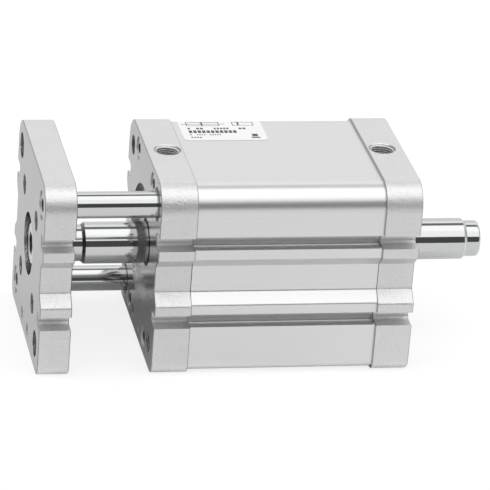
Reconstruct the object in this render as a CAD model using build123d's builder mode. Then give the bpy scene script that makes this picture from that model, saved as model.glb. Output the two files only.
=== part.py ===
from build123d import *
import os

# Guided compact pneumatic cylinder with a through piston rod, in millimetres.
# The origin is on the rod axis in the rear cover's outer face, the mounting face with four
# corner threads. X runs along the rod and out of the rear cover, so the front cover and the
# guide plate are at minus X. Z points up, to the face with the air ports. The rod stands part
# way out, as it was photographed.

os.makedirs("parts", exist_ok=True)

# Working sizes
bore_diameter = 63.0
stroke = 50.0
rod_diameter = 16.0
guide_rod_diameter = 10.0
rest_extension = 23.0

# Lengths along the rod
cover_length = 14.0
spigot_length = 3.0
plate_thickness = 12.0
retracted_gap = 8.0

# Cross-section shared by the plate, the covers and the barrel
barrel_wall = 5.5
barrel_inset = 1.0
top_corner_radius = 10.0
bottom_corner_radius = 4.5
bolt_setback = 9.75
panel_wall = 1.9
panel_half_height = 5.2
panel_slope_height = 4.2
panel_foot_radius = 1.2
ridge_radius = 1.2
edge_break = 0.3

# Sensor slots
slot_height = 15.8
slot_width = 5.2
slot_depth = 6.0
slot_floor_radius = 1.6
slot_lip = 2.0
slot_pocket_width = 7.8
slot_pocket_radius = 1.2
cover_slot_depth = 6.5

# Clearances
running_gap = 0.03
seal_gap = 0.08
assembly_gap = 0.05
end_gap = 0.1

# Threads, drawn at their outside diameter
m8_thread = 8.0
m8_depth = 12.0
plate_thread_spacing = 34.0
plate_clear_hole = 10.0
port_thread = 9.7
port_countersink = 10.4
port_bite = 1.2
port_setback = 8.0
rod_end_thread = 10.0
rod_end_countersink = 10.6
rod_end_hole_depth = 20.0

# Cover screws, beside the corners
cover_screw_offset = 11.25
cover_screw_edge = 6.5
cover_screw_thread = 5.0
cover_screw_clear = 5.5
cover_screw_head = 8.5
cover_screw_head_height = 5.0
cover_screw_socket = 4.0
cover_screw_socket_depth = 2.5
cover_screw_grip = 12.0
head_clearance = 0.25
head_chamfer = 0.4
head_sink = 0.5
screw_end_room = 1.5

# Small pin holes under the rod
pin_hole_diameter = 5.0
pin_hole_depth = 8.0
pin_hole_spacing = 15.0
pin_hole_edge = 5.5

# Rod passage through a cover, counted inwards from its outer face
pilot_diameter = 45.0
pilot_depth = 2.0
wiper_opening = 18.6
wiper_lip_depth = 1.0
seal_diameter = 24.0
seal_length = 5.0
seal_lip_wall = 1.2
seal_notch_depth = 2.0
wiper_sink = 0.3
rod_bush_wall = 1.0

# Guide rod passage
guide_bush_wall = 1.0
guide_wiper_diameter = 13.0
guide_wiper_length = 3.5
guide_channel_diameter = 11.0
guide_rod_end_margin = 6.0
guide_rod_seat = 2.0
guide_rod_chamfer = 0.8

# Guide rod screws, in the plate
guide_screw_thread = 6.0
guide_screw_clear = 6.4
guide_screw_head = 10.0
guide_screw_head_height = 6.0
guide_screw_socket = 5.0
guide_screw_socket_depth = 3.0
guide_screw_grip = 12.0
guide_screw_recess = 11.0

# Centre screw, in the plate
centre_recess = 24.0
centre_screw_head = 16.0
centre_screw_head_height = 6.0
centre_screw_sink = 1.0
centre_screw_socket = 8.0
centre_screw_socket_depth = 3.5
centre_screw_grip = 14.0

# Piston rods
end_boss_diameter = 14.0
end_boss_length = 5.6
end_chamfer_length = 1.2
end_round = 1.3
front_neck_length = 7.6
rear_reach = 6.0
spigot_diameter = 12.0
plate_spigot_length = 4.0
stub_diameter = 10.0
stub_length = 14.0

# Piston
piston_side_gap = 0.2
seal_land = 1.2
seal_groove_width = 3.0
seal_groove_depth = 3.8
wear_ring_land = 0.9
wear_ring_width = 3.6
wear_ring_depth = 1.3
magnet_wall = 1.5
magnet_width = 4.0
magnet_length = 4.0

# Cover seal ring, bumper and air passage
ring_groove_width = 1.8
ring_groove_depth = 1.4
bumper_wall = 0.4
bumper_width = 5.0
bumper_groove_depth = 1.5
bumper_proud = 0.5
passage_diameter = 3.6
passage_wall = 2.5

# Label
label_setback = 2.5
label_length = 32.5
label_width = 19.5
label_edge = 6.5
label_thickness = 0.15
label_corner_radius = 2.0

# Places worked out from the sizes above
piston_half = seal_land + seal_groove_width + wear_ring_land + wear_ring_width / 2
chamber_length = 2 * piston_half + stroke + 2 * bumper_proud + 2 * end_gap
barrel_length = chamber_length + 2 * spigot_length
barrel_end = -cover_length
barrel_start = barrel_end - barrel_length
front_x = barrel_start - cover_length
barrel_half = bore_diameter / 2 + barrel_wall
cover_half = barrel_half + barrel_inset
plate_back = front_x - retracted_gap - rest_extension
plate_front = plate_back - plate_thickness
remaining_stroke = stroke - rest_extension
spigot_radius = bore_diameter / 2 - assembly_gap
piston_front = barrel_start + spigot_length + bumper_proud + end_gap + remaining_stroke
piston_back = piston_front + 2 * piston_half
rear_rod_end = rear_reach + remaining_stroke
rod_radius = rod_diameter / 2
guide_radius = guide_rod_diameter / 2
bolt_place = cover_half - bolt_setback
screw_across = bolt_place - cover_screw_offset
screw_up = cover_half - cover_screw_edge
panel_floor = bore_diameter / 2 + panel_wall
ridge_edge = panel_half_height + panel_slope_height
seal_start = pilot_depth + wiper_lip_depth
bush_start = seal_start + seal_length
bush_outer_radius = rod_radius + rod_bush_wall
cover_depth = cover_length + spigot_length
guide_bush_outer_radius = guide_radius + guide_bush_wall
guide_rod_front = plate_back - guide_rod_seat
guide_rod_back = barrel_end - guide_rod_end_margin - rest_extension
guide_web = plate_thickness - guide_rod_seat - guide_screw_head_height - head_sink
cover_web = cover_length - cover_screw_head_height - head_sink
ring_start = cover_length + (spigot_length - ring_groove_width) / 2
passage_radius = spigot_radius - ring_groove_depth - passage_wall
bumper_outer_radius = passage_radius - passage_diameter / 2 - bumper_wall
bumper_inner_radius = bumper_outer_radius - bumper_width
port_depth = cover_half - passage_radius - passage_diameter / 2 + port_bite

# Faces seen from outside, so that holes go inwards from them
front_face = Plane(origin=(front_x, 0, 0), x_dir=(0, -1, 0), z_dir=(-1, 0, 0))
rear_face = Plane(origin=(0, 0, 0), x_dir=(0, 1, 0), z_dir=(1, 0, 0))
plate_face = Plane(origin=(plate_front, 0, 0), x_dir=(0, -1, 0), z_dir=(-1, 0, 0))

# Corners as they lie on a face seen from the front: the guide rods take two of them
guide_corners = [(bolt_place, bolt_place), (-bolt_place, -bolt_place)]
free_corners = [(-bolt_place, bolt_place), (bolt_place, -bolt_place)]
cover_screw_places = [(y, z) for y in (-screw_across, screw_across) for z in (-screw_up, screw_up)]
pin_hole_up = pin_hole_edge - cover_half
pin_hole_places = [(-pin_hole_spacing / 2, pin_hole_up), (pin_hole_spacing / 2, pin_hole_up)]


def save(piece, name):
    """Label a finished piece and write it."""
    piece.part.label = name
    export_step(piece.part, f"parts/{name}.step")


def panelled_square(half):
    """Square with round corners and a sloped sunk panel in both flanks."""
    inset = cover_half - half
    with BuildSketch() as outline:
        Rectangle(2 * half, 2 * half)
        fillet(outline.vertices().group_by(Axis.Y)[-1], top_corner_radius - inset)
        fillet(outline.vertices().group_by(Axis.Y)[0], bottom_corner_radius - inset)
        for flank in (-1, 1):
            Polygon(
                (flank * half, ridge_edge),
                (flank * panel_floor, panel_half_height),
                (flank * panel_floor, -panel_half_height),
                (flank * half, -ridge_edge),
                align=None,
                mode=Mode.SUBTRACT,
            )
        crests = [v for v in outline.vertices() if abs(abs(v.Y) - ridge_edge) < end_gap]
        fillet(crests, ridge_radius)
        feet = [v for v in outline.vertices() if abs(abs(v.Y) - panel_half_height) < end_gap]
        fillet(feet, panel_foot_radius)
    return outline.sketch


def on_face(face, places):
    """Places on a face, given as sideways and up."""
    return Locations(*[face.location * Location((x, y, 0)) for x, y in places])


def turned(start, direction, profile):
    """Piece turned about the rod axis. The profile counts depth from the start, then radius."""
    with BuildPart() as piece:
        with BuildSketch(Plane.XZ):
            Polygon(*[(start + direction * depth, radius) for depth, radius in profile], align=None)
        revolve(axis=Axis.X)
    return piece


def ring(start, direction, near, far, inner_radius, outer_radius):
    """Plain ring about the rod axis, between two depths counted from the start."""
    profile = [(near, inner_radius), (near, outer_radius), (far, outer_radius), (far, inner_radius)]
    return turned(start, direction, profile)


def tube(face, near, far, outer_radius, inner_radius, place):
    """Plain ring beside the rod axis, between two depths under a face."""
    with BuildPart() as piece:
        with BuildSketch(face.offset(-near)):
            with Locations(place):
                Circle(outer_radius)
                Circle(inner_radius, mode=Mode.SUBTRACT)
        extrude(amount=near - far)
    return piece


def cap_screws(seat, places, head, head_height, socket, socket_depth, shank, shank_length):
    """Socket head screws with their heads level with a seat plane."""
    with BuildPart() as screws:
        with BuildSketch(seat):
            with Locations(*places):
                Circle(head / 2)
        extrude(amount=-head_height)
        rims = [e for e in screws.edges() if abs(e.center().X - seat.origin.X) < end_gap]
        chamfer(rims, head_chamfer)
        with BuildSketch(seat.offset(-head_height)):
            with Locations(*places):
                Circle(shank / 2)
        extrude(amount=-shank_length)
        with BuildSketch(seat):
            with Locations(*places):
                RegularPolygon(socket / 2, 6, major_radius=False)
        extrude(amount=-socket_depth, mode=Mode.SUBTRACT)
    return screws


def cover(face, guide_places, thread_places):
    """Cover with its spigot, seal and bush seats, screw holes and air port."""
    with BuildPart() as piece:
        with BuildSketch(face):
            add(cover_section.sketch)
        extrude(amount=-cover_length)
        chamfer(piece.faces().sort_by(Axis.X)[0].edges(), edge_break)
        chamfer(piece.faces().sort_by(Axis.X)[-1].edges(), edge_break)
        with BuildSketch(face.offset(-cover_length)):
            Circle(spigot_radius)
        extrude(amount=-spigot_length)
        with BuildSketch(face):
            Circle(pilot_diameter / 2)
        extrude(amount=-pilot_depth, mode=Mode.SUBTRACT)
        with BuildSketch(face):
            Circle(wiper_opening / 2)
        extrude(amount=-seal_start, mode=Mode.SUBTRACT)
        with BuildSketch(face.offset(-seal_start)):
            Circle(seal_diameter / 2)
        extrude(amount=-seal_length, mode=Mode.SUBTRACT)
        with BuildSketch(face.offset(-bush_start)):
            Circle(bush_outer_radius)
        extrude(amount=bush_start - cover_depth, mode=Mode.SUBTRACT)
        with BuildSketch(face.offset(-ring_start)):
            Circle(spigot_radius)
            Circle(spigot_radius - ring_groove_depth, mode=Mode.SUBTRACT)
        extrude(amount=-ring_groove_width, mode=Mode.SUBTRACT)
        with BuildSketch(face.offset(bumper_groove_depth - cover_depth)):
            Circle(bumper_outer_radius)
            Circle(bumper_inner_radius, mode=Mode.SUBTRACT)
        extrude(amount=-bumper_groove_depth, mode=Mode.SUBTRACT)
        if guide_places:
            with BuildSketch(face):
                with Locations(*guide_places):
                    Circle(guide_wiper_diameter / 2)
            extrude(amount=-guide_wiper_length, mode=Mode.SUBTRACT)
            with BuildSketch(face):
                with Locations(*guide_places):
                    Circle(guide_bush_outer_radius)
            extrude(amount=-cover_length, mode=Mode.SUBTRACT)
        with on_face(face, thread_places):
            Hole(m8_thread / 2, m8_depth)
        with on_face(face, cover_screw_places):
            CounterBoreHole(
                cover_screw_clear / 2,
                cover_screw_head / 2 + head_clearance,
                cover_screw_head_height + head_sink,
                cover_length,
            )
        with on_face(face, pin_hole_places):
            Hole(pin_hole_diameter / 2, pin_hole_depth)
        port_x = face.origin.X - face.z_dir.X * port_setback
        with Locations((port_x, 0, cover_half)):
            CounterSinkHole(port_thread / 2, port_countersink / 2, port_depth, 90)
        with BuildSketch(face.offset(-port_setback)):
            with Locations((0, passage_radius)):
                Circle(passage_diameter / 2)
        extrude(amount=port_setback - cover_depth, mode=Mode.SUBTRACT)
    return piece


# Section of the plate and the covers, with open grooves in line with the barrel's slots
cover_square = panelled_square(cover_half)
with BuildSketch() as cover_section:
    add(cover_square)
    for flank in (-cover_half, cover_half):
        with Locations((flank, -slot_height), (flank, slot_height)):
            RectangleRounded(2 * cover_slot_depth, slot_width, slot_floor_radius, mode=Mode.SUBTRACT)

# Section of the barrel, with undercut slots for sensors, the bore and four corner channels
barrel_square = panelled_square(barrel_half)
pocket_middle = barrel_half - (slot_lip + slot_depth) / 2
with BuildSketch() as barrel_section:
    add(barrel_square)
    for side in (-1, 1):
        with Locations((side * barrel_half, -slot_height), (side * barrel_half, slot_height)):
            Rectangle(2 * (slot_lip + slot_pocket_radius), slot_width, mode=Mode.SUBTRACT)
        with Locations((side * pocket_middle, -slot_height), (side * pocket_middle, slot_height)):
            RectangleRounded(
                slot_depth - slot_lip, slot_pocket_width, slot_pocket_radius, mode=Mode.SUBTRACT
            )
    Circle(bore_diameter / 2, mode=Mode.SUBTRACT)
    with Locations(*guide_corners, *free_corners):
        Circle(guide_channel_diameter / 2, mode=Mode.SUBTRACT)

# Guide plate, screwed to the piston rod and both guide rods
with BuildPart() as guide_plate:
    with BuildSketch(plate_face):
        add(cover_section.sketch)
    extrude(amount=-plate_thickness)
    chamfer(guide_plate.faces().sort_by(Axis.X)[0].edges(), edge_break)
    chamfer(guide_plate.faces().sort_by(Axis.X)[-1].edges(), edge_break)
    with on_face(plate_face, [(0, 0)]):
        CounterBoreHole(
            spigot_diameter / 2 + assembly_gap,
            centre_recess / 2,
            centre_screw_sink + centre_screw_head_height,
            plate_thickness,
        )
    with on_face(plate_face, guide_corners):
        CounterBoreHole(
            guide_screw_clear / 2,
            guide_screw_recess / 2,
            guide_screw_head_height + head_sink,
            plate_thickness,
        )
    with BuildSketch(plate_face.offset(-plate_thickness)):
        with Locations(*guide_corners):
            Circle(guide_radius + assembly_gap)
    extrude(amount=guide_rod_seat, mode=Mode.SUBTRACT)
    with on_face(plate_face, free_corners):
        Hole(plate_clear_hole / 2, plate_thickness)
    with on_face(plate_face, pin_hole_places):
        Hole(pin_hole_diameter / 2, plate_thickness)
    with on_face(plate_face, [(0, 0)]):
        with GridLocations(plate_thread_spacing, plate_thread_spacing, 2, 2):
            Hole(m8_thread / 2, plate_thickness)
save(guide_plate, "guide_plate")

# Covers: the guide rods pass through two corners of the front one
front_cover = cover(front_face, guide_corners, free_corners)
save(front_cover, "front_cover")
rear_cover = cover(rear_face, [], guide_corners + free_corners)
save(rear_cover, "rear_cover")

# Barrel with screw holes in both ends
screw_hole_depth = cover_screw_grip + screw_end_room
with BuildPart() as barrel:
    with BuildSketch(Plane.YZ.offset(barrel_start)):
        add(barrel_section.sketch)
    extrude(amount=barrel_length)
    for end in (barrel_start, barrel_end - screw_hole_depth):
        with BuildSketch(Plane.YZ.offset(end)):
            with Locations(*cover_screw_places):
                Circle(cover_screw_thread / 2)
        extrude(amount=screw_hole_depth, mode=Mode.SUBTRACT)
save(barrel, "barrel")

# Screws
cover_screw_sizes = (
    cover_screw_head,
    cover_screw_head_height,
    cover_screw_socket,
    cover_screw_socket_depth,
    cover_screw_thread - 2 * assembly_gap,
    cover_web + cover_screw_grip,
)
front_screws = cap_screws(front_face.offset(-head_sink), cover_screw_places, *cover_screw_sizes)
save(front_screws, "front_cover_screws")
rear_screws = cap_screws(rear_face.offset(-head_sink), cover_screw_places, *cover_screw_sizes)
save(rear_screws, "rear_cover_screws")
guide_rod_screws = cap_screws(
    plate_face.offset(-head_sink),
    guide_corners,
    guide_screw_head,
    guide_screw_head_height,
    guide_screw_socket,
    guide_screw_socket_depth,
    guide_screw_thread - 2 * assembly_gap,
    guide_web + guide_screw_grip,
)
save(guide_rod_screws, "guide_rod_screws")
centre_screw = cap_screws(
    plate_face.offset(-centre_screw_sink),
    [(0, 0)],
    centre_screw_head,
    centre_screw_head_height,
    centre_screw_socket,
    centre_screw_socket_depth,
    rod_end_thread - 2 * assembly_gap,
    centre_screw_grip,
)
save(centre_screw, "plate_centre_screw")

# Front piston rod: plate spigot, neck, rod, piston spigot and threaded stub
front_rod_start = plate_back - plate_spigot_length
front_thread_end = front_rod_start + centre_screw_grip + screw_end_room
front_rod = turned(
    0,
    1,
    [
        (front_thread_end, 0),
        (front_thread_end, rod_end_thread / 2),
        (front_rod_start, rod_end_thread / 2),
        (front_rod_start, spigot_diameter / 2),
        (plate_back, spigot_diameter / 2),
        (plate_back, end_boss_diameter / 2),
        (plate_back + front_neck_length, end_boss_diameter / 2),
        (plate_back + front_neck_length + end_chamfer_length, rod_radius),
        (piston_front, rod_radius),
        (piston_front, spigot_diameter / 2),
        (piston_back - end_gap, spigot_diameter / 2),
        (piston_back - end_gap, stub_diameter / 2),
        (piston_back + stub_length, stub_diameter / 2),
        (piston_back + stub_length, 0),
    ],
)
save(front_rod, "front_piston_rod")

# Rear piston rod: screwed on the stub, with a threaded boss on its free end
boss_start = rear_rod_end - end_boss_length
stub_hole_radius = stub_diameter / 2 + assembly_gap
stub_hole_end = piston_back + stub_length + screw_end_room
sink_depth = (rod_end_countersink - rod_end_thread) / 2
with BuildPart() as rear_rod:
    with BuildSketch(Plane.XZ) as rear_rod_profile:
        Polygon(
            (piston_back, stub_hole_radius),
            (piston_back, rod_radius),
            (boss_start - end_chamfer_length, rod_radius),
            (boss_start, end_boss_diameter / 2),
            (rear_rod_end, end_boss_diameter / 2),
            (rear_rod_end, rod_end_countersink / 2),
            (rear_rod_end - sink_depth, rod_end_thread / 2),
            (rear_rod_end - rod_end_hole_depth, rod_end_thread / 2),
            (rear_rod_end - rod_end_hole_depth, 0),
            (stub_hole_end, 0),
            (stub_hole_end, stub_hole_radius),
            align=None,
        )
        end_corner = rear_rod_profile.vertices().group_by(Axis.X)[-1].sort_by(Axis.Y)[-1]
        fillet(end_corner, end_round)
    revolve(axis=Axis.X)
save(rear_rod, "rear_piston_rod")

# Guide rods, seated in the plate and screwed from its front
guide_rod_seat_plane = plate_face.offset(plate_front - guide_rod_front)
for place, name in zip(guide_corners, ("upper_guide_rod", "lower_guide_rod")):
    with BuildPart() as guide_rod:
        with BuildSketch(guide_rod_seat_plane):
            with Locations(place):
                Circle(guide_radius)
        extrude(amount=guide_rod_front - guide_rod_back)
        chamfer(guide_rod.faces().sort_by(Axis.X)[-1].edges(), guide_rod_chamfer)
        with BuildSketch(guide_rod_seat_plane):
            with Locations(place):
                Circle(guide_screw_thread / 2)
        extrude(amount=-guide_screw_grip - screw_end_room, mode=Mode.SUBTRACT)
    save(guide_rod, name)

# Bushes and wipers of the guide rods, in the front cover
guide_names = ("upper_guide", "lower_guide")
for place, name in zip(guide_corners, guide_names):
    guide_bush = tube(
        front_face,
        guide_wiper_length + end_gap,
        cover_length,
        guide_bush_outer_radius - assembly_gap,
        guide_radius + running_gap,
        place,
    )
    save(guide_bush, f"{name}_bush")
    guide_wiper = tube(
        front_face,
        0,
        guide_wiper_length,
        guide_wiper_diameter / 2 - assembly_gap,
        guide_radius + seal_gap,
        place,
    )
    save(guide_wiper, f"{name}_wiper")

# Parts held by both covers, counted inwards from each outer face
lip_inner = rod_radius + seal_gap
seal_outer = seal_diameter / 2 - assembly_gap
seal_far = bush_start - end_gap
seal_profile = [
    (pilot_depth + wiper_sink, lip_inner),
    (pilot_depth + wiper_sink, wiper_opening / 2 - assembly_gap),
    (seal_start + end_gap, wiper_opening / 2 - assembly_gap),
    (seal_start + end_gap, seal_outer),
    (seal_far, seal_outer),
    (seal_far, seal_outer - seal_lip_wall),
    (seal_far - seal_notch_depth, (seal_outer + lip_inner) / 2),
    (seal_far, lip_inner + seal_lip_wall),
    (seal_far, lip_inner),
]
bumper_start = cover_depth - bumper_groove_depth
for start, direction, end_name in ((front_x, 1, "front"), (0, -1, "rear")):
    save(turned(start, direction, seal_profile), f"{end_name}_rod_seal")
    rod_bush = ring(
        start,
        direction,
        bush_start,
        cover_depth,
        rod_radius + running_gap,
        bush_outer_radius - assembly_gap,
    )
    save(rod_bush, f"{end_name}_rod_bush")
    cover_ring = ring(
        start,
        direction,
        ring_start + assembly_gap,
        ring_start + ring_groove_width - assembly_gap,
        spigot_radius - ring_groove_depth,
        bore_diameter / 2,
    )
    save(cover_ring, f"{end_name}_cover_ring")
    bumper = ring(
        start,
        direction,
        bumper_start,
        cover_depth + bumper_proud,
        bumper_inner_radius + assembly_gap,
        bumper_outer_radius - assembly_gap,
    )
    save(bumper, f"{end_name}_bumper")

# Piston halves with their lip seals, counted from each end face to the middle
piston_radius = bore_diameter / 2 - piston_side_gap
groove_floor = piston_radius - seal_groove_depth
groove_far = seal_land + seal_groove_width
magnet_outer_radius = groove_floor - magnet_wall
magnet_inner_radius = magnet_outer_radius - magnet_width
half_profile = [
    (0, spigot_diameter / 2 + assembly_gap),
    (0, piston_radius),
    (seal_land, piston_radius),
    (seal_land, groove_floor),
    (groove_far, groove_floor),
    (groove_far, piston_radius),
    (piston_half - wear_ring_width / 2, piston_radius),
    (piston_half - wear_ring_width / 2, piston_radius - wear_ring_depth),
    (piston_half, piston_radius - wear_ring_depth),
    (piston_half, magnet_outer_radius),
    (piston_half - magnet_length / 2, magnet_outer_radius),
    (piston_half - magnet_length / 2, magnet_inner_radius),
    (piston_half, magnet_inner_radius),
    (piston_half, spigot_diameter / 2 + assembly_gap),
]
lip_outer = bore_diameter / 2 - seal_gap
lip_floor = groove_floor + assembly_gap
piston_seal_profile = [
    (seal_land + end_gap, lip_floor),
    (seal_land + end_gap, lip_floor + seal_lip_wall),
    (seal_land + seal_notch_depth, (lip_floor + lip_outer) / 2),
    (seal_land + end_gap, lip_outer - seal_lip_wall),
    (seal_land + end_gap, lip_outer),
    (groove_far - end_gap, lip_outer),
    (groove_far - end_gap, lip_floor),
]
for start, direction, end_name in ((piston_front, 1, "front"), (piston_back, -1, "rear")):
    save(turned(start, direction, half_profile), f"{end_name}_piston_half")
    save(turned(start, direction, piston_seal_profile), f"{end_name}_piston_seal")

# Rings held between the piston halves
wear_ring = ring(
    piston_front,
    1,
    piston_half - wear_ring_width / 2 + assembly_gap,
    piston_half + wear_ring_width / 2 - assembly_gap,
    piston_radius - wear_ring_depth + assembly_gap,
    bore_diameter / 2 - running_gap,
)
save(wear_ring, "piston_wear_ring")
magnet_ring = ring(
    piston_front,
    1,
    piston_half - magnet_length / 2 + assembly_gap,
    piston_half + magnet_length / 2 - assembly_gap,
    magnet_inner_radius + assembly_gap,
    magnet_outer_radius - assembly_gap,
)
save(magnet_ring, "piston_magnet_ring")

# Sticker on the barrel's top, running a little over the far corner
label_start = barrel_start + label_setback
label_middle = barrel_half - label_edge - label_width / 2
sticker_half = barrel_half + label_thickness
label_radius = top_corner_radius - barrel_inset
with BuildPart() as label:
    with BuildSketch(Plane.YZ.offset(label_start)) as label_section:
        RectangleRounded(2 * sticker_half, 2 * sticker_half, label_radius + label_thickness)
        RectangleRounded(2 * barrel_half, 2 * barrel_half, label_radius, mode=Mode.SUBTRACT)
    extrude(amount=label_length)
    with BuildSketch(Plane.XY.offset(sticker_half)):
        with Locations((label_start + label_length / 2, label_middle)):
            RectangleRounded(label_length, label_width, label_corner_radius)
    extrude(amount=-label_radius, mode=Mode.INTERSECT)
save(label, "label")
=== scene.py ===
# The camera stands where the photographer stood: low over the near flank, a little to the
# front, with a long lens, so that lines along the rod hardly run together.
import math

import bmesh
import bpy
from mathutils import Matrix, Vector


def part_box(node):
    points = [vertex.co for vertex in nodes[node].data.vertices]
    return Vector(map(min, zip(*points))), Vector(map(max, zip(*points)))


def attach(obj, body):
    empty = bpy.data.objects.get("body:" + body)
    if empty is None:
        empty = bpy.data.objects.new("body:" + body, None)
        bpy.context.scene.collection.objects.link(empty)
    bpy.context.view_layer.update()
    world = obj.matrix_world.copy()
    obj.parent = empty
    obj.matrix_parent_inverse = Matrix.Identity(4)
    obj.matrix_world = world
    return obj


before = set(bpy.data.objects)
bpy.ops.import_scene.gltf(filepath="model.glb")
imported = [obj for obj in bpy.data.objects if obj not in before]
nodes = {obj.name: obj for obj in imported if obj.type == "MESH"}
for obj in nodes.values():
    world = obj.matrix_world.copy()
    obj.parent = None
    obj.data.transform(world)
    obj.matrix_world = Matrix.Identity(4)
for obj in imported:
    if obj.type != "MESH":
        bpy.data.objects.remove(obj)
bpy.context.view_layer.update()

camera_lens = 252.94
camera_film_width = 36.0
camera_reach = 20.0
camera_place = (-0.31644, -1.17229, 0.54015)
camera_right = Vector((0.98055, -0.18276, 0.07152))
camera_up = Vector((0.01155, 0.41751, 0.90860))
camera_back = Vector((-0.19592, -0.89010, 0.41150))
camera_data = bpy.data.cameras.new("camera")
camera_data.sensor_fit = "HORIZONTAL"
camera_data.sensor_width = camera_film_width
camera_data.lens = camera_lens
camera_data.clip_end = camera_reach
camera = bpy.data.objects.new("camera", camera_data)
bpy.context.scene.collection.objects.link(camera)
camera_turn = Matrix((camera_right, camera_up, camera_back)).transposed()
camera.matrix_world = Matrix.Translation(camera_place) @ camera_turn.to_4x4()
bpy.context.scene.camera = camera
bpy.context.scene.view_settings.view_transform = "Standard"


# The floor is a matte white sheet that the cylinder stands on, and it keeps a soft shadow.
# A glow lifts it to white for the camera. Reflections see a weaker glow, and only before the
# near flank and beyond the plate: under and behind the body the floor is dim.
def plain_object(name, mesh_builder):
    """Object at the origin from a mesh made by a function that fills a bmesh."""
    bm = bmesh.new()
    mesh_builder(bm)
    mesh = bpy.data.meshes.new(name)
    bm.to_mesh(mesh)
    bm.free()
    made = bpy.data.objects.new(name, mesh)
    bpy.context.scene.collection.objects.link(made)
    return made


def add_node(tree, kind, **settings):
    """New shader node with its settings."""
    made = tree.nodes.new("ShaderNode" + kind)
    for setting, value in settings.items():
        setattr(made, setting, value)
    return made


def join(tree, from_node, from_socket, to_node, to_socket):
    """Join two sockets of a node tree."""
    tree.links.new(from_node.outputs[from_socket], to_node.inputs[to_socket])


def spread(tree, source, socket, low, high, start=0.3, end=0.7):
    """Map the values from start to end, a noise's usual range, to values from low to high."""
    ranged = add_node(tree, "MapRange")
    ranged.inputs["From Min"].default_value = start
    ranged.inputs["From Max"].default_value = end
    ranged.inputs["To Min"].default_value = low
    ranged.inputs["To Max"].default_value = high
    join(tree, source, socket, ranged, "Value")
    return ranged


def combine(tree, operation, first, first_socket, second, second_socket):
    """Value made from two others by one sum."""
    summed = add_node(tree, "Math", operation=operation)
    join(tree, first, first_socket, summed, 0)
    join(tree, second, second_socket, summed, 1)
    return summed


def grey_colour(grey):
    """Colour with its alpha from one grey."""
    return (grey, grey, grey, 1)


floor_half = 6.0
floor_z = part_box("front_cover")[0].z
floor_grey = 0.97
floor_glow_share = 0.75
floor_gloss_strength = 0.88
floor_camera_strength = 1.07
floor_flank_range = (-0.03, -0.06)
floor_plate_range = (-0.130, -0.144)


def floor_sheet(bm):
    bmesh.ops.create_grid(bm, x_segments=1, y_segments=1, size=floor_half)
    bmesh.ops.translate(bm, verts=bm.verts, vec=(0, 0, floor_z))


floor = plain_object("floor", floor_sheet)
floor_paint = bpy.data.materials.new("floor_paint")
floor_paint.use_nodes = True
tree = floor_paint.node_tree
tree.nodes.clear()
floor_path = add_node(tree, "LightPath")
floor_place = add_node(tree, "TexCoord")
floor_split = add_node(tree, "SeparateXYZ")
join(tree, floor_place, "Object", floor_split, "Vector")
floor_flank = spread(tree, floor_split, "Y", 0.0, 1.0, *floor_flank_range)
floor_plate = spread(tree, floor_split, "X", 0.0, 1.0, *floor_plate_range)
floor_bright = combine(tree, "MAXIMUM", floor_flank, "Result", floor_plate, "Result")
floor_gloss = combine(tree, "MULTIPLY", floor_bright, "Value", floor_path, "Is Glossy Ray")
floor_seen = combine(tree, "MAXIMUM", floor_path, "Is Camera Ray", floor_gloss, "Value")
floor_share = spread(tree, floor_seen, "Value", 0.0, floor_glow_share, 0.0, 1.0)
floor_strength = spread(
    tree, floor_path, "Is Camera Ray", floor_gloss_strength, floor_camera_strength, 0.0, 1.0
)
floor_matte = add_node(tree, "BsdfDiffuse")
floor_matte.inputs["Color"].default_value = grey_colour(floor_grey)
floor_glow = add_node(tree, "Emission")
floor_mix = add_node(tree, "MixShader")
floor_out = add_node(tree, "OutputMaterial")
join(tree, floor_strength, "Result", floor_glow, "Strength")
join(tree, floor_share, "Result", floor_mix, "Fac")
join(tree, floor_matte, "BSDF", floor_mix, 1)
join(tree, floor_glow, "Emission", floor_mix, 2)
join(tree, floor_mix, "Shader", floor_out, "Surface")
floor.data.materials.append(floor_paint)


# The studio is two long soft boxes over the cylinder, one each side of a dim gap, and an
# unlit room behind the camera. Each band runs along the cylinder, so it is a function of
# the angle about the rod's axis. The camera itself sees plain white past the floor.
def blend(tree, mask, socket, under, under_socket, over):
    """Colour that goes from one node's result to a fixed one where the mask is one."""
    picked = add_node(tree, "Mix", data_type="RGBA")
    join(tree, mask, socket, picked, "Factor")
    join(tree, under, under_socket, picked, "A")
    picked.inputs["B"].default_value = over
    return picked


box_strength = 1.4
room_end_grey = 0.42
room_end_from, room_end_full = 0.75, 0.97
room_bands = [
    # degrees from straight up towards the camera's side, brightness
    (-90, 0.45),
    (-87, 0.45),
    (-85, 0.64),
    (-50, 0.64),
    (-46, 0.85),
    (-31, 0.85),
    (-28, 0.16),
    (-13, 0.16),
    (-10, 1.08),
    (20, 1.08),
    (26, 0.95),
    (55, 0.95),
    (58, 0.06),
    (92, 0.06),
]
world = bpy.data.worlds.new("studio")
bpy.context.scene.world = world
world.use_nodes = True
tree = world.node_tree
background = tree.nodes["Background"]
background.inputs["Strength"].default_value = box_strength
room_way = add_node(tree, "TexCoord")
room_split = add_node(tree, "SeparateXYZ")
room_near = add_node(tree, "Math", operation="MULTIPLY")
room_near.inputs[1].default_value = -1.0
room_side = add_node(tree, "Math", operation="ABSOLUTE")
join(tree, room_way, "Generated", room_split, "Vector")
join(tree, room_split, "Y", room_near, 0)
join(tree, room_split, "X", room_side, 0)
room_angle = combine(tree, "ARCTAN2", room_near, "Value", room_split, "Z")
room_turn = spread(tree, room_angle, "Value", 0.0, 1.0, -math.pi, math.pi)
room_ramp = add_node(tree, "ValToRGB")
stops = room_ramp.color_ramp.elements
while len(stops) < len(room_bands):
    stops.new(0.5)
for stop, (angle, grey) in zip(stops, room_bands):
    stop.position = (angle + 180) / 360
    stop.color = grey_colour(grey)
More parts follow.
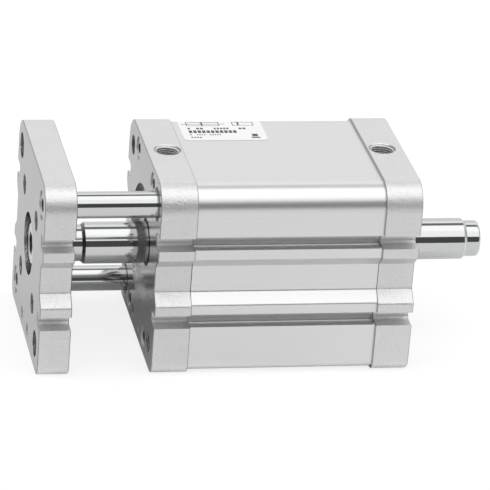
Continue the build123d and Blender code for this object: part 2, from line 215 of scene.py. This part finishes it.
join(tree, room_turn, "Result", room_ramp, "Fac")
room_end = spread(tree, room_side, "Value", 0.0, 1.0, room_end_from, room_end_full)
room_end.interpolation_type = "SMOOTHSTEP"
room_ended = blend(tree, room_end, "Result", room_ramp, "Color", grey_colour(room_end_grey))
room_path = add_node(tree, "LightPath")
room_white = grey_colour(1 / box_strength)
room_seen = blend(tree, room_path, "Is Camera Ray", room_ended, "Result", room_white)
join(tree, room_seen, "Result", background, "Color")


# The barrel is an extruded aluminium profile, clear anodised. The press leaves fine lines
# and faint streaks along it, and the sawn ends are hidden by the covers.
def start_paint(name, metallic):
    """New material with its tree and shader."""
    made = bpy.data.materials.new(name)
    made.use_nodes = True
    shader = made.node_tree.nodes["Principled BSDF"]
    shader.inputs["Metallic"].default_value = metallic
    return made, made.node_tree, shader


def grain(tree, stretch, detail=2):
    """Noise on the object's own coordinates, with its frequency along x, y and z."""
    place = add_node(tree, "TexCoord")
    fit = add_node(tree, "Mapping")
    fit.inputs["Scale"].default_value = stretch
    noise = add_node(tree, "TexNoise")
    noise.inputs["Scale"].default_value = 1.0
    noise.inputs["Detail"].default_value = detail
    join(tree, place, "Object", fit, "Vector")
    join(tree, fit, "Vector", noise, "Vector")
    return noise


def shades(tree, noise, dark, light):
    """Blend between two colours by a noise."""
    mixed = add_node(tree, "Mix", data_type="RGBA")
    mixed.inputs["A"].default_value = (*dark, 1)
    mixed.inputs["B"].default_value = (*light, 1)
    join(tree, noise, "Fac", mixed, "Factor")
    return mixed


def relief(tree, noise, depth):
    """Bump from a noise, with its depth in metres."""
    bump = add_node(tree, "Bump")
    bump.inputs["Distance"].default_value = depth
    join(tree, noise, "Fac", bump, "Height")
    return bump


def dress(material, *names):
    """Give CAD nodes a material."""
    for name in names:
        nodes[name].data.materials.clear()
        nodes[name].data.materials.append(material)


aluminium_dark = (0.765, 0.765, 0.77)
aluminium_light = (0.815, 0.815, 0.82)
streak_dark = (0.77, 0.77, 0.775)
streak_light = (0.83, 0.83, 0.835)
press_line_depth = 0.0000009
barrel_metal, tree, shader = start_paint("anodised_barrel", 1.0)
press_lines = grain(tree, (5, 3200, 3200))
streaks = grain(tree, (4, 700, 700), 3)
barrel_shades = shades(tree, streaks, streak_dark, streak_light)
join(tree, barrel_shades, "Result", shader, "Base Color")
join(tree, spread(tree, press_lines, "Fac", 0.34, 0.39), "Result", shader, "Roughness")
join(tree, relief(tree, press_lines, press_line_depth), "Normal", shader, "Normal")
dress(barrel_metal, "barrel")

# Both covers and the guide plate are milled aluminium, glass blasted on the outside and
# anodised. End faces were turned smooth, edges broken with a cutter, and holes and the
# recesses in the middle bored. Cut edges look greyer. End faces and bores are smoother, and
# their darker grey is painted shade: on the end faces for their side seen end-on, deepest on
# the covers in the gap beside the plate, and on the bores for the inside of holes and recesses.
# Masks find them by the surface's lean and by the distance from the rod's axis or from a corner
# bolt.
bolt_place = 0.02825
middle_zone = (0.0290, 0.0295)
corner_zone = (0.0053, 0.0056)
end_face_lean = (0.85, 0.95)
cut_edge_lean = (0.45, 0.6)
speck_range = (0.6, 0.72)
speck_share = 0.5
blast_depth = 0.00013
smooth_relief = 0.2
blasted_roughness = (0.38, 0.52)
end_face_roughness = 0.22
bore_roughness = 0.20
# The bore grey is painted shade inside holes and recesses, darker than the blasted metal.
speck_grey, edge_grey, bore_shade_grey = 0.54, 0.39, 0.55


def blend_values(tree, mask, socket, under, over):
    """Value that goes from one node's result to a fixed one where the mask is one."""
    picked = add_node(tree, "Mix")
    join(tree, mask, socket, picked, "Factor")
    join(tree, under, "Result", picked, "A")
    picked.inputs["B"].default_value = over
    return picked


def blasted_paint(name, end_face_shade_grey):
    """Blasted aluminium: greyer cut edges, and smooth end faces and bores in painted shade."""
    made, tree, shader = start_paint(name, 1.0)
    blast = grain(tree, (1700, 1700, 1700), 3)
    specks = grain(tree, (1500, 1500, 1500), 1)
    cloud = grain(tree, (80, 80, 80))

    surface = add_node(tree, "NewGeometry")
    split = add_node(tree, "SeparateXYZ")
    lean = add_node(tree, "Math", operation="ABSOLUTE")
    join(tree, surface, "True Normal", split, "Vector")
    join(tree, split, "X", lean, 0)
    end_face = spread(tree, lean, "Value", 0.0, 1.0, *end_face_lean)
    cut_edge = spread(tree, lean, "Value", 0.0, 1.0, *cut_edge_lean)
    speck = spread(tree, specks, "Fac", 0.0, speck_share, *speck_range)

    place = add_node(tree, "TexCoord")
    across = add_node(tree, "Mapping")
    across.inputs["Scale"].default_value = (0, 1, 1)
    off_axis = add_node(tree, "VectorMath", operation="LENGTH")
    quarter = add_node(tree, "VectorMath", operation="ABSOLUTE")
    off_corner = add_node(tree, "VectorMath", operation="DISTANCE")
    off_corner.inputs[1].default_value = (0, bolt_place, bolt_place)
    join(tree, place, "Object", across, "Vector")
    join(tree, across, "Vector", off_axis, 0)
    join(tree, across, "Vector", quarter, 0)
    join(tree, quarter, "Vector", off_corner, 0)
    middle = spread(tree, off_axis, "Value", 1.0, 0.0, *middle_zone)
    corners = spread(tree, off_corner, "Value", 1.0, 0.0, *corner_zone)
    zone = combine(tree, "MAXIMUM", middle, "Result", corners, "Result")
    bored = combine(tree, "SUBTRACT", zone, "Value", end_face, "Result")

    blasted = spread(tree, blast, "Fac", *blasted_roughness)
    smooth = blend_values(tree, end_face, "Result", blasted, end_face_roughness)
    smooth = blend_values(tree, bored, "Value", smooth, bore_roughness)
    join(tree, smooth, "Result", shader, "Roughness")

    colour = shades(tree, cloud, aluminium_dark, aluminium_light)
    # End faces and bores take their darker greys here, and these greys are painted shade.
    for mask, socket, grey in (
        (speck, "Result", speck_grey),
        (cut_edge, "Result", edge_grey),
        (end_face, "Result", end_face_shade_grey),
        (bored, "Value", bore_shade_grey),
    ):
        colour = blend(tree, mask, socket, colour, "Result", grey_colour(grey))
    join(tree, colour, "Result", shader, "Base Color")

    dents = relief(tree, blast, blast_depth)
    dent_strength = spread(tree, end_face, "Result", 1.0, smooth_relief, 0.0, 1.0)
    join(tree, dent_strength, "Result", dents, "Strength")
    join(tree, dents, "Normal", shader, "Normal")
    return made


# The covers' end faces get a darker painted shade than the plate's, for the gap beside the
# plate.
cover_metal = blasted_paint("blasted_aluminium", 0.285)
dress(cover_metal, "front_cover", "rear_cover")
plate_metal = blasted_paint("plate_aluminium", 0.315)
dress(plate_metal, "guide_plate")


# Every screw is a steel socket screw, zinc plated, so its skin is slightly cloudy. They hold
# the covers on the barrel and the plate on its three rods.
def grained_paint(name, metallic, stretch, dark, light, roughness, depth):
    """Material with one grain that drives its colour, its roughness and its bump."""
    made, tree, shader = start_paint(name, metallic)
    skin = grain(tree, stretch)
    join(tree, shades(tree, skin, dark, light), "Result", shader, "Base Color")
    join(tree, spread(tree, skin, "Fac", *roughness), "Result", shader, "Roughness")
    join(tree, relief(tree, skin, depth), "Normal", shader, "Normal")
    return made


screw_steel = grained_paint(
    "screw_steel",
    metallic=1.0,
    stretch=(900, 900, 900),
    dark=(0.49, 0.49, 0.50),
    light=(0.61, 0.61, 0.61),
    roughness=(0.14, 0.24),
    depth=0.000008,
)
dress(
    screw_steel,
    "front_cover_screws",
    "rear_cover_screws",
    "guide_rod_screws",
    "plate_centre_screw",
)

# Threads are cut in the covers, the plate and the air ports: coarse taps of 8 mm, and fine
# threads in the ports. Each is a helix with a blunt crest, wound into the metal of its piece.
thread_steps = 28
thread_play = 0.00003
mouth_sink = 0.00008
# outside radius, core radius and pitch
m8_size = (0.0040, 0.0034, 0.00125)
port_size = (0.00485, 0.00425, 0.000907)
m8_length = 0.0108
port_length = 0.0086
port_setback = 0.008
plate_corner = 0.017
inwards, outwards, down = (1, 0, 0), (-1, 0, 0), (0, 0, -1)


def thread_helix(mouth, way, outer, core, pitch, length):
    """Function that adds one inside thread, wound from a hole's mouth along its way in."""
    turns = int(length / pitch)
    axis = Vector(way)
    side = axis.orthogonal().normalized()
    foot = outer - thread_play
    # distance from the axis, and how far along in parts of the pitch
    profile = [(foot, 0.03), (core, 0.40), (core, 0.60), (foot, 0.97)]

    def wind(bm):
        points = [side * out + axis * (along * pitch) + Vector(mouth) for out, along in profile]
        flank = bm.faces.new([bm.verts.new(point) for point in points])
        bmesh.ops.spin(
            bm,
            geom=[flank, *flank.edges, *flank.verts],
            cent=mouth,
            axis=axis,
            dvec=axis * (pitch / thread_steps),
            angle=2 * math.pi * turns,
            steps=thread_steps * turns,
            use_merge=False,
        )

    return wind


def cut_threads(name, threads, body, material):
    """One piece with several inside threads, on a body."""

    def wind_all(bm):
        for thread in threads:
            thread_helix(*thread)(bm)
        bmesh.ops.recalc_face_normals(bm, faces=bm.faces)

    made = plain_object(name, wind_all)
    made.data.materials.append(material)
    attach(made, body)


face_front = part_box("front_cover")[0].x
face_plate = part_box("guide_plate")[0].x
cover_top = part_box("front_cover")[1].z
cover_threads = [
    ((-mouth_sink, y, z), outwards, *m8_size, m8_length)
    for y in (-bolt_place, bolt_place)
    for z in (-bolt_place, bolt_place)
]
cover_threads += [
    ((face_front + mouth_sink, y, y), inwards, *m8_size, m8_length)
    for y in (-bolt_place, bolt_place)
]
cut_threads("cover_threads", cover_threads, "housing", cover_metal)
port_threads = [
    ((x, 0, cover_top - 2 * mouth_sink), down, *port_size, port_length)
    for x in (face_front + port_setback, -port_setback)
]
cut_threads("port_threads", port_threads, "housing", cover_metal)
plate_threads = [
    ((face_plate + mouth_sink, y, z), inwards, *m8_size, m8_length)
    for y in (-plate_corner, plate_corner)
    for z in (-plate_corner, plate_corner)
]
cut_threads("plate_threads", plate_threads, "rod", plate_metal)

# Rings, bumpers and lip seals are moulded rubber, seated in the grooves of the covers and of
# the piston.
seal_rubber = grained_paint(
    "seal_rubber",
    metallic=0.0,
    stretch=(1500, 1500, 1500),
    dark=(0.020, 0.020, 0.020),
    light=(0.045, 0.045, 0.045),
    roughness=(0.45, 0.6),
    depth=0.000015,
)
dress(
    seal_rubber,
    "front_rod_seal",
    "rear_rod_seal",
    "front_cover_ring",
    "rear_cover_ring",
    "front_bumper",
    "rear_bumper",
    "front_piston_seal",
    "rear_piston_seal",
)

# Bushes are sintered bronze, soaked in oil, and pressed into the covers round the rods. The
# pores show as fine dark grain.
bush_bronze = grained_paint(
    "bush_bronze",
    metallic=1.0,
    stretch=(5000, 5000, 5000),
    dark=(0.36, 0.26, 0.14),
    light=(0.52, 0.38, 0.20),
    roughness=(0.32, 0.5),
    depth=0.00001,
)
dress(bush_bronze, "front_rod_bush", "rear_rod_bush", "upper_guide_bush", "lower_guide_bush")

# Wipers of the guide rods and the piston's wear ring are turned from dark grey plastic, with
# fine lines round them.
wiper_plastic = grained_paint(
    "wiper_plastic",
    metallic=0.0,
    stretch=(4000, 300, 300),
    dark=(0.05, 0.05, 0.05),
    light=(0.09, 0.09, 0.09),
    roughness=(0.35, 0.5),
    depth=0.00001,
)
dress(wiper_plastic, "upper_guide_wiper", "lower_guide_wiper", "piston_wear_ring")

# The piston halves are turned aluminium, left bare with the tool's fine lines, and clamped
# between the two piston rods.
piston_metal = grained_paint(
    "piston_aluminium",
    metallic=1.0,
    stretch=(5000, 200, 200),
    dark=(0.60, 0.60, 0.60),
    light=(0.70, 0.70, 0.70),
    roughness=(0.2, 0.35),
    depth=0.00001,
)
dress(piston_metal, "front_piston_half", "rear_piston_half")

# The magnet ring between the halves is magnet powder in black plastic. It switches sensors
# in the barrel's slots.
magnet_plastic = grained_paint(
    "magnet_plastic",
    metallic=0.0,
    stretch=(6000, 6000, 6000),
    dark=(0.03, 0.03, 0.035),
    light=(0.08, 0.08, 0.085),
    roughness=(0.5, 0.7),
    depth=0.00001,
)
dress(magnet_plastic, "piston_magnet_ring")

# The piston rods and the guide rods are steel, hard chromed and ground. The wheel leaves
# very fine rings round them. The rear rod's end has a 10 mm thread, a helix as in the covers.
rod_chrome = grained_paint(
    "rod_chrome",
    metallic=1.0,
    stretch=(7000, 150, 150),
    dark=(0.60, 0.605, 0.61),
    light=(0.66, 0.665, 0.67),
    roughness=(0.04, 0.10),
    depth=0.0000006,
)
dress(rod_chrome, "front_piston_rod", "rear_piston_rod", "upper_guide_rod", "lower_guide_rod")
rod_end_size = (0.0050, 0.0042, 0.0015)
rod_end_length = 0.018
rod_end_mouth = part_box("rear_piston_rod")[1].x - 2 * mouth_sink
end_thread = [((rod_end_mouth, 0, 0), outwards, *rod_end_size, rod_end_length)]
cut_threads("rod_end_thread", end_thread, "rod", rod_chrome)

# The sticker is a white polyester film on the barrel's top, rolled on into the far corner's
# curve.
label_film = grained_paint(
    "label_film",
    metallic=0.0,
    stretch=(700, 700, 700),
    dark=(0.91, 0.91, 0.91),
    light=(0.95, 0.95, 0.95),
    roughness=(0.3, 0.42),
    depth=0.00001,
)
dress(label_film, "label")

# The print on the sticker is black ink: the plain drawing sign of a cylinder from two sides,
# a square mark, and blocks where a maker would put words. Each is a flat block of ink that
# reaches a little into the film.
print_ink = grained_paint(
    "print_ink",
    metallic=0.0,
    stretch=(2500, 2500, 2500),
    dark=(0.02, 0.02, 0.02),
    light=(0.10, 0.10, 0.10),
    roughness=(0.35, 0.5),
    depth=0.000004,
)
mm = 0.001
ink_height = 0.00002
ink_sink = 0.00001
block_gap = 0.42
row_start = 3.0
label_low, label_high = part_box("label")
print_bars = [
    # along x from the label's front end, across from its near edge, length and width, in mm
    (3.0, 14.0, 12.6, 0.3),
    (3.0, 17.3, 12.8, 0.3),
    (3.0, 14.0, 0.3, 3.3),
    (15.6, 14.0, 0.3, 3.6),
    (8.8, 14.2, 0.7, 3.1),
    (1.0, 15.5, 7.8, 0.3),
    (9.5, 15.5, 8.7, 0.3),
    (21.0, 14.3, 8.0, 0.3),
    (21.0, 17.3, 8.3, 0.3),
    (21.0, 14.3, 0.3, 3.0),
    (29.0, 14.3, 0.3, 3.3),
    (23.0, 14.5, 0.7, 2.8),
    (26.4, 2.0, 3.4, 1.0),
    (27.0, 3.6, 2.2, 2.4),
]
print_rows = [
    # across from the label's near edge, block height, then block widths, below zero for a
    # space, in mm
    (10.6, 1.5, (0.9, -1.6, 1.1, 1.1, -3.4, 0.8, 0.8, 0.8, 0.8, 0.8, -3.2, 1.1, 1.1)),
    (7.0, 2.5, (1.3,) * 11),
    (4.9, 0.9, (0.6, -1.2, 0.5, 0.5, 0.5, 0.5, -1.0, 0.5, 0.5, 0.5, 0.5, 0.5)),
    (2.2, 1.1, (0.7,) * 4),
]
for across, height, widths in print_rows:
    along = row_start
    for width in widths:
        if width > 0:
            print_bars.append((along, across, width, height))
        along += abs(width) + block_gap


def ink_blocks(bm):
    for along, across, length, width in print_bars:
        block = bmesh.ops.create_cube(bm, size=1.0)["verts"]
        size = (length * mm, width * mm, ink_height + ink_sink)
        bmesh.ops.scale(bm, verts=block, vec=size)
        middle_x = label_low.x + (along + length / 2) * mm
        middle_y = label_low.y + (across + width / 2) * mm
        middle_z = label_high.z + (ink_height - ink_sink) / 2
        bmesh.ops.translate(bm, verts=block, vec=(middle_x, middle_y, middle_z))


label_print = plain_object("label_print", ink_blocks)
label_print.data.materials.append(print_ink)
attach(label_print, "housing")
